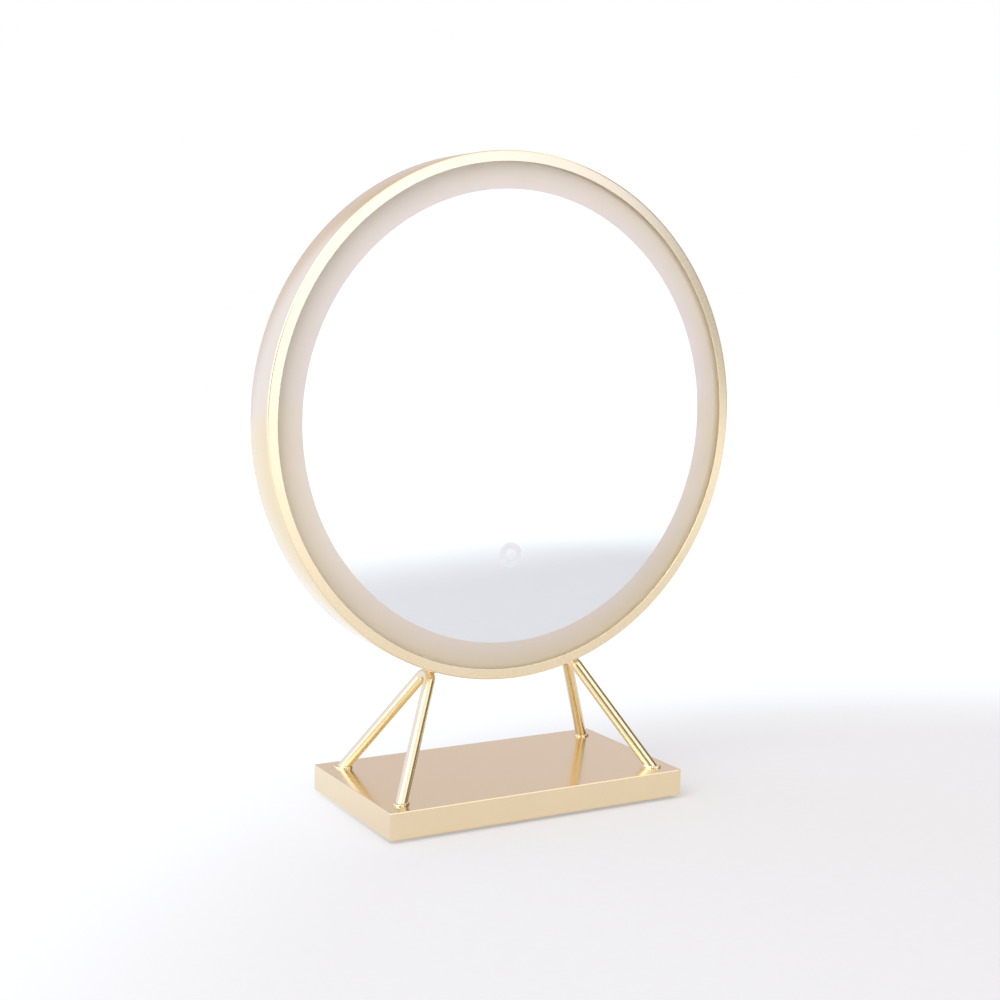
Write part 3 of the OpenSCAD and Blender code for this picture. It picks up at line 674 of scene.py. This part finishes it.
# ---- Back panel ----
# A round steel panel set into the drum, pressed with a shallow raised field to
# stiffen it, and drilled for six screws and the power inlet.
panel_low, panel_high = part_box("back_panel")
panel_r = round((panel_high.x - panel_low.x) / 2, 4)
inlet_low, inlet_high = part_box("inlet_body")
inlet_z = (inlet_low.z + inlet_high.z) / 2
field_inset, field_step, field_rise, panel_edge_r = 26 * MM, 1.6 * MM, 0.6 * MM, 0.3 * MM
bracket_len, bracket_count, screw_head_r, screw_offset = 18 * MM, 6, 3 * MM, 5 * MM
inlet_hole_r, screw_hole_r, hole_depth = 5.6 * MM, 1.6 * MM, 8 * MM
screw_ring = head_r - sheet - bracket_len + screw_head_r + 2 * MM
panel = round_plate("rear_panel", panel_r, panel_low.y, panel_high.y)
pick(panel, "faces", lambda p: p.y > panel_high.y - NEAR)
bpy.ops.mesh.inset(thickness=field_inset)
bpy.ops.mesh.inset(thickness=field_step, depth=-field_rise)
pick(panel, "edges", lambda p: p.y > panel_high.y - NEAR
     and math.hypot(p.x, p.z - head_z) > panel_r - MM)
bpy.ops.mesh.bevel(offset=panel_edge_r, segments=3, affect="EDGES")
finish_mesh(panel, 12)
screw_places = []
for i in range(bracket_count):
    angle = 2 * math.pi * (i + 0.5) / bracket_count
    screw_places.append(Vector((
        screw_ring * math.cos(angle) + screw_offset * math.sin(angle), panel_high.y,
        head_z + screw_ring * math.sin(angle) - screw_offset * math.cos(angle))))
holes = []
for place, radius in [((0, panel_high.y, inlet_z), inlet_hole_r)] + [
        (place, screw_hole_r) for place in screw_places]:
    bpy.ops.object.select_all(action="DESELECT")
    bpy.ops.mesh.primitive_cylinder_add(vertices=48, radius=radius, depth=hole_depth,
                                        location=place, rotation=(math.pi / 2, 0, 0))
    holes.append(bpy.context.object)
cut_out(panel, join_pieces(holes, "panel_holes"))
bpy.ops.object.shade_smooth_by_angle(angle=math.radians(12))
dress(panel, champagne, "gold_paint", "back_panel")


# ---- Panel screws ----
# Six small pan-head screws with a cross recess hold the panel on the brackets.
# They are gold-coloured to match the frame.
def cross_screw(name, cap_r, cap_h, dome, shank_r, shank_len):
    """Makes a screw that faces +Z, with the bearing face of its head at the origin."""
    bpy.ops.object.select_all(action="DESELECT")
    bpy.ops.mesh.primitive_cylinder_add(
        vertices=64, radius=cap_r, depth=cap_h, location=(0, 0, cap_h / 2))
    screw = bpy.context.object
    screw.name = name
    screw.data.name = name
    bpy.ops.object.transform_apply(location=True, rotation=True, scale=True)
    bpy.ops.object.mode_set(mode="EDIT")
    pick(screw, "faces", lambda p: p.z > cap_h * 0.99)
    bpy.ops.mesh.region_to_loop()
    bpy.ops.mesh.bevel(offset=dome, segments=6, affect="EDGES")
    pick(screw, "faces", lambda p: p.z < cap_h * 0.01)
    bpy.ops.mesh.inset(thickness=cap_r - shank_r)
    bpy.ops.mesh.extrude_region_move(TRANSFORM_OT_translate={"value": (0, 0, -shank_len)})
    bpy.ops.mesh.bevel(offset=shank_r * 0.35, segments=2, affect="EDGES")
    finish_mesh(screw, 40)
    recess = cap_r * 1.05
    for width, length in ((recess * 0.24, recess), (recess, recess * 0.24)):
        bpy.ops.object.select_all(action="DESELECT")
        bpy.ops.mesh.primitive_cube_add(size=1, location=(0, 0, cap_h))
        slot = bpy.context.object
        bpy.ops.object.mode_set(mode="EDIT")
        bpy.ops.transform.resize(
            value=(width, length, cap_h * 1.3), center_override=(0, 0, cap_h))
        pick(slot, "verts", lambda p: p.z < 0)
        bpy.ops.transform.resize(value=(0.6, 0.6, 1), center_override=(0, 0, 0))
        finish_mesh(slot)
        cut_out(screw, slot)
    bpy.ops.object.shade_smooth_by_angle(angle=math.radians(40))
    return screw


def copies(piece, name, places, out=(0, 0, 1)):
    """Places copies of a piece, each turned to face out, and joins them."""
    made = []
    for place in places:
        double = piece.copy()
        double.data = piece.data.copy()
        scene.collection.objects.link(double)
        turned = Vector(out).to_track_quat("Z", "Y").to_matrix().to_4x4()
        double.data.transform(Matrix.Translation(place) @ turned @ piece.matrix_world)
        double.matrix_world = Matrix.Identity(4)
        made.append(double)
    bpy.data.objects.remove(piece)
    return join_pieces(made, name)


gold_screw = gold_paint("gold_screws", (0.74, 0.56, 0.28), (0.84, 0.66, 0.36), 0.24, 0.3, 0.1)
pan_h, pan_dome, shank_r, shank_len = 1.65 * MM, 0.95 * MM, 1.5 * MM, 4 * MM
pan = cross_screw("pan_screw", screw_head_r, pan_h, pan_dome, shank_r, shank_len)
panel_set = copies(pan, "panel_screw_set", screw_places, (0, 1, 0))
dress(panel_set, gold_screw, "gold_screw", "panel_screws")


# ---- Driver ----
# The controller sits on the back panel in a two-part plastic case: a board of
# green laminate with a capacitor, a coil, two switches, a chip and lead sockets.
laminate = grained("green_laminate", (0.015, 0.16, 0.055), (0.03, 0.24, 0.09), 0.3, 500, 0.00002)
black_plastic = grained("black_plastic", (0.020, 0.020, 0.021), (0.032, 0.032, 0.033), 0.45,
                        900, 0.00005)
carry(laminate, "driver_board")
carry(black_plastic, "driver_parts")


# ---- Touch sensor ----
# Behind the key's ring a round white board is held off the glass by a foam ring,
# with four small lights round it.
white_board = grained("white_board", (0.72, 0.73, 0.72), (0.79, 0.80, 0.79), 0.3, 700, 0.00002)
carry(white_board, "touch_board")


# ---- Power inlet ----
# A round low-voltage socket in the back panel: a black moulded body with a flange,
# a nickel centre pin, a nut inside the panel and two solder tags.
flange_r, flange_edge_r, barrel_r, bore_r, bore_len = (
    7 * MM, 0.5 * MM, 5.5 * MM, 2.8 * MM, 9.5 * MM)
pin_r, pin_tip_r, pin_step = 1.05 * MM, 0.45 * MM, 0.3 * MM
bore_end = inlet_high.y - bore_len
socket = start_section("inlet_socket", bore_r, flange_r, panel_high.y, inlet_high.y, inlet_z)
bpy.ops.mesh.select_all(action="SELECT")
bpy.ops.mesh.bisect(plane_co=(barrel_r, 0, 0), plane_no=(1, 0, 0))
pick(socket, "edges", lambda p: abs(p.y - panel_high.y) < NEAR and p.x < barrel_r)
bpy.ops.mesh.extrude_region_move(
    TRANSFORM_OT_translate={"value": (0, bore_end - panel_high.y, 0)})
bpy.ops.mesh.extrude_region_move(
    TRANSFORM_OT_translate={"value": (0, inlet_low.y - bore_end, 0)})
pick(socket, "edges", lambda p: abs(p.x - bore_r) < NEAR and p.y < bore_end)
bpy.ops.mesh.extrude_region_move(TRANSFORM_OT_translate={"value": (-bore_r, 0, 0)})
bpy.ops.mesh.select_mode(type="FACE")
bpy.ops.mesh.select_all(action="SELECT")
bpy.ops.mesh.dissolve_faces(use_verts=True)
round_corners(socket, flange_edge_r, lambda p: p.y > inlet_high.y - NEAR, 4)
pick(socket, "edges", lambda p: p.x < NEAR)
bpy.ops.mesh.delete(type="EDGE_FACE")
spin_section(socket, inlet_z, 96)
dress(socket, black_plastic, "black_plastic", "inlet_body")
nickel = grained("nickel_plate", (0.62, 0.60, 0.55), (0.74, 0.72, 0.67), 0.22, 900, 0.00001, 1.0)
pin_low, pin_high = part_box("inlet_pin")
bpy.ops.object.select_all(action="DESELECT")
bpy.ops.mesh.primitive_cylinder_add(
    vertices=48, radius=pin_r, depth=pin_high.y - bore_end,
    location=(0, (pin_high.y + bore_end) / 2, inlet_z), rotation=(math.pi / 2, 0, 0))
pin = bpy.context.object
pin.name = "inlet_centre_pin"
pin.data.name = pin.name
bpy.ops.object.transform_apply(location=True, rotation=True, scale=True)
bpy.ops.object.mode_set(mode="EDIT")
pick(pin, "faces", lambda p: p.y > pin_high.y - NEAR)
bpy.ops.mesh.region_to_loop()
bpy.ops.mesh.bevel(offset=pin_tip_r, segments=5, affect="EDGES")
pick(pin, "faces", lambda p: p.y < bore_end + NEAR)
bpy.ops.mesh.inset(thickness=pin_step)
bpy.ops.mesh.extrude_region_move(TRANSFORM_OT_translate={"value": (0, pin_low.y - bore_end, 0)})
finish_mesh(pin, 35)
dress(pin, nickel, "nickel_contact", "inlet_pin")
carry(nickel, "inlet_terminals")
carry(bright_zinc, "inlet_nut")


# ---- Leads ----
# Round PVC-covered leads join the inlet, the driver, the light strip and the touch
# sensor inside the head.
for name, low, high in (
        ("supply_lead", (0.018, 0.018, 0.019), (0.03, 0.03, 0.031)),
        ("led_lead", (0.72, 0.72, 0.70), (0.79, 0.79, 0.77)),
        ("sensor_lead", (0.45, 0.03, 0.02), (0.56, 0.05, 0.035))):
    carry(grained(name + "_pvc", low, high, 0.4, 1200, 0.00003), name)


# ---- Legs ----
# Each pair of legs is one 9 mm steel rod, bent to a narrow V and made here as two
# halves. The bend is welded under the drum and the feet on the base. The rods are
# a brighter, glossier gold.
base_low, base_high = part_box("base_shell")
rod_r = 4.5 * MM
foot_inset_x, foot_inset_y = 17 * MM, 17.4 * MM
pair_angle = math.radians(18.2)
bend_r = 8.5 * MM
bite, overrun, seam = 0.3 * MM, 10 * MM, 0.005 * MM
foot_x = base_high.x - foot_inset_x
foot_y = base_high.y - foot_inset_y
top_z = base_high.z
crown_r = head_r + rod_r - bite
crown_x, crown_z = crown_r * math.sin(pair_angle), head_z - crown_r * math.cos(pair_angle)
pair_lean = math.atan2(foot_x - crown_x, crown_z - top_z)
pair_rise = (crown_z - top_z) / math.cos(pair_lean) - bend_r
leg_lean = math.atan2(foot_y, pair_rise) - math.asin(bend_r / math.hypot(foot_y, pair_rise))
leg_run = math.sqrt(foot_y ** 2 + pair_rise ** 2 - bend_r ** 2)
drawn_gold = gold_paint("rod_gold", (0.80, 0.655, 0.405), (0.90, 0.755, 0.505), 0.21, 0.6, 0.12)


def cut(piece, point, normal):
    """Cuts away what lies on the normal's side of a plane and caps the cut."""
    bpy.ops.mesh.select_all(action="SELECT")
    bpy.ops.mesh.bisect(plane_co=point, plane_no=normal, clear_outer=True, use_fill=True)


for side, side_name in ((-1, "left"), (1, "right")):
    for depth, depth_name in ((-1, "front"), (1, "rear")):
        bpy.ops.object.select_all(action="DESELECT")
        bpy.ops.mesh.primitive_circle_add(
            vertices=64, radius=rod_r, location=(bend_r, 0, 0), rotation=(math.pi / 2, 0, 0))
        leg = bpy.context.object
        leg.name = f"{side_name}_{depth_name}_rod"
        leg.data.name = leg.name
        bpy.ops.object.transform_apply(location=True, rotation=True, scale=True)
        bpy.ops.object.mode_set(mode="EDIT")
        bpy.ops.mesh.select_mode(type="EDGE")
        bpy.ops.mesh.select_all(action="SELECT")
        bpy.ops.mesh.extrude_region_move(
            TRANSFORM_OT_translate={"value": (0, -leg_run - overrun, 0)})
        pick(leg, "verts", lambda p: abs(p.y) < NEAR)
        bpy.ops.mesh.spin(
            steps=24, angle=leg_lean - math.pi / 2, center=(0, 0, 0), axis=(0, 0, 1))
        bpy.ops.object.mode_set(mode="OBJECT")
        leg.data.transform(
            Matrix.Translation((side * (crown_x + bend_r * math.sin(pair_lean)), 0,
                                crown_z - bend_r * math.cos(pair_lean)))
            @ Matrix.Rotation(-side * pair_lean, 4, "Y")
            @ Matrix.Rotation(depth * math.pi / 2, 4, "Z")
            @ Matrix.Rotation(math.pi / 2, 4, "X")
            @ Matrix.Rotation(leg_lean, 4, "Z"))
        bpy.ops.object.mode_set(mode="EDIT")
        cut(leg, (0, 0, top_z), (0, 0, -1))
        cut(leg, (0, depth * seam, 0), (0, -depth, 0))
        finish_mesh(leg, 40)
        dress(leg, drawn_gold, "rod_gold", f"{side_name}_{depth_name}_leg")


# ---- Weld beads ----
# Each bend is welded to the drum along both its sides, and each foot all round.
# The beads are small and scalloped, and the gold coating makes them shine.
ripples, ripple_angle, ripple_size = 14, 0.04, (0.94, 0.94, 0.68)
meeting_rise, foot_gap, foot_lift, foot_thick = 10 * MM, 0.3 * MM, 0.45 * MM, 1.35 * MM
head_length, head_width, head_drop, head_thick = 6.6 * MM, 3.4 * MM, 0.5 * MM, 1.15 * MM
random.seed(7)


def bead(name, place, normal, along, half_length, half_width, thick):
    """Makes one scalloped ring of weld that lies on a face."""
    bpy.ops.object.select_all(action="DESELECT")
    bpy.ops.mesh.primitive_torus_add(
        major_segments=112, minor_segments=16, major_radius=half_width, minor_radius=thick)
    ring = bpy.context.object
    ring.name = name
    ring.data.name = name
    bpy.ops.object.mode_set(mode="EDIT")
    for i in range(ripples):
        start = 2 * math.pi * (i + random.uniform(-0.15, 0.15)) / ripples
        pick(ring, "verts", lambda p: abs(math.remainder(
            math.atan2(p.y, p.x) - start, 2 * math.pi)) < ripple_angle)
        bpy.ops.transform.resize(value=ripple_size, center_override=(
            half_width * math.cos(start), half_width * math.sin(start), 0))
    bpy.ops.mesh.select_all(action="SELECT")
    bpy.ops.transform.resize(
        value=(half_length / half_width, 1, 1), center_override=(0, 0, 0))
    finish_mesh(ring, 70)
    up = Vector(normal).normalized()
    ahead = (Vector(along) - up * Vector(along).dot(up)).normalized()
    ring.data.transform(Matrix.Translation(place) @ Matrix(
        (ahead, up.cross(ahead), up)).transposed().to_4x4())
    return ring


foot_beads, head_beads = [], []
for side in (-1, 1):
    down = Vector((side * math.sin(pair_angle), 0, -math.cos(pair_angle)))
    head_beads.append(bead("head_bead", Vector((0, 0, head_z)) + down * (head_r + head_drop),
                           down, (0, 1, 0), head_length, head_width, head_thick))
    for depth in (-1, 1):
        foot = Vector((side * foot_x, depth * foot_y, top_z + foot_lift))
        rise = Vector((side * crown_x, 0, crown_z + meeting_rise)) - foot
        slope = math.cos(rise.angle(Vector((0, 0, 1))))
        foot_beads.append(bead("foot_bead", foot, (0, 0, 1), rise,
                               (rod_r + foot_gap) / slope, rod_r + foot_gap, foot_thick))
for beads, name, node in ((foot_beads, "base_weld_beads", "base_welds"),
                          (head_beads, "head_weld_beads", "head_welds")):
    dress(join_pieces(beads, name), drawn_gold, "rod_gold", node)


# ---- Base ----
# A box folded from 1.5 mm steel sheet, welded at its corners and ground: crisp
# upper edges and corners, a rounded lower edge and a lip turned in underneath.
lip, corner_r, lower_r, upper_r = 8 * MM, 1.3 * MM, 2.6 * MM, 0.8 * MM
base_size = base_high - base_low
base_mid = (base_high + base_low) / 2
bpy.ops.object.select_all(action="DESELECT")
bpy.ops.mesh.primitive_cube_add(size=1, location=base_mid)
box = bpy.context.object
box.name = "base_box"
box.data.name = "base_box"
bpy.ops.object.mode_set(mode="EDIT")
bpy.ops.transform.resize(value=base_size, center_override=base_mid)
bpy.ops.object.mode_set(mode="OBJECT")
bpy.ops.object.transform_apply(location=True, rotation=True, scale=True)
bpy.ops.object.mode_set(mode="EDIT")
pick(box, "faces", lambda p: p.z < base_low.z + NEAR)
bpy.ops.mesh.region_to_loop()
bpy.ops.mesh.bevel(offset=lower_r, segments=8, affect="EDGES")
pick(box, "faces", lambda p: p.z > base_high.z - NEAR)
bpy.ops.mesh.region_to_loop()
bpy.ops.mesh.bevel(offset=upper_r, segments=5, affect="EDGES")
pick(box, "faces", lambda p: p.z < base_low.z + NEAR)
bpy.ops.mesh.inset(thickness=lip - lower_r)
bpy.ops.mesh.delete(type="FACE")
pick(box, "edges", lambda p: abs(p.y) > base_high.y - lower_r
     and abs((base_high.x - abs(p.x)) - (base_high.y - abs(p.y))) < 2 * NEAR)
bpy.ops.mesh.bevel(offset=corner_r, segments=6, affect="EDGES")
finish_mesh(box, 30)
wall = box.modifiers.new("wall", "SOLIDIFY")
wall.thickness = sheet
wall.offset = -1
wall.use_even_offset = True
bpy.ops.object.modifier_apply(modifier="wall")
even_faces(box)
base_gold = gold_paint("base_paint", (0.82, 0.66, 0.42), (0.91, 0.75, 0.50), 0.2, 1.0, 0.25)
dress(box, base_gold, "gold_paint", "base_shell")


# ---- Weight ----
# A slab of hot-rolled steel hangs on two studs that are welded under the top of
# the base, with spacers above it and nuts sunk in its underside.
mill_scale = grained("mill_scale", (0.10, 0.105, 0.115), (0.19, 0.19, 0.195), 0.55,
                     240, 0.00006, 0.7)
carry(mill_scale, "counterweight")
carry(bright_zinc, "weight_studs", "weight_spacers", "weight_nuts")


# ---- Bottom plate and feet ----
# A black powder-coated plate closes the base. Four rubber feet stand on it, each
# with a recess for the cross-head screw that holds foot and plate to the weight.
powder = grained("powder_coat", (0.025, 0.025, 0.026), (0.035, 0.035, 0.036), 0.55, 1100, 0.00012)
carry(powder, "bottom_plate")
feet_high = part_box("rubber_feet")[1]
foot_r, recess_r, recess_floor, foot_edge_r = 8 * MM, 3.5 * MM, 0.5 * MM, 0.35 * MM
pad_x, pad_y = feet_high.x - foot_r, feet_high.y - foot_r
feet = []
for x in (-pad_x, pad_x):
    for y in (-pad_y, pad_y):
        bpy.ops.object.select_all(action="DESELECT")
        bpy.ops.mesh.primitive_cylinder_add(
            vertices=64, radius=foot_r, depth=feet_high.z, location=(x, y, feet_high.z / 2))
        pad = bpy.context.object
        bpy.ops.object.transform_apply(location=True, rotation=True, scale=True)
        bpy.ops.object.mode_set(mode="EDIT")
        pick(pad, "faces", lambda p: p.z < NEAR)
        bpy.ops.mesh.inset(thickness=foot_r - recess_r)
        bpy.ops.mesh.extrude_region_move(
            TRANSFORM_OT_translate={"value": (0, 0, feet_high.z - recess_floor)})
        pick(pad, "edges", lambda p: p.z < NEAR)
        bpy.ops.mesh.bevel(offset=foot_edge_r, segments=3, affect="EDGES")
        finish_mesh(pad, 35)
        feet.append(pad)
rubber = grained("foot_rubber", (0.016, 0.016, 0.016), (0.026, 0.026, 0.026), 0.8, 700, 0.0001)
dress(join_pieces(feet, "foot_pads"), rubber, "black_rubber", "rubber_feet")
foot_low, foot_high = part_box("foot_screws")
flat_r, flat_h, flat_dome = 3 * MM, 0.8 * MM, 0.2 * MM
flat = cross_screw("flat_screw", flat_r, flat_h, flat_dome, shank_r,
                   foot_high.z - foot_low.z - flat_h)
pad_places = [Vector((x, y, foot_low.z + flat_h))
              for x in (-pad_x, pad_x) for y in (-pad_y, pad_y)]
screw_set = copies(flat, "foot_screw_set", pad_places, (0, 0, -1))
dress(screw_set, bright_zinc, "zinc_steel", "foot_screws")
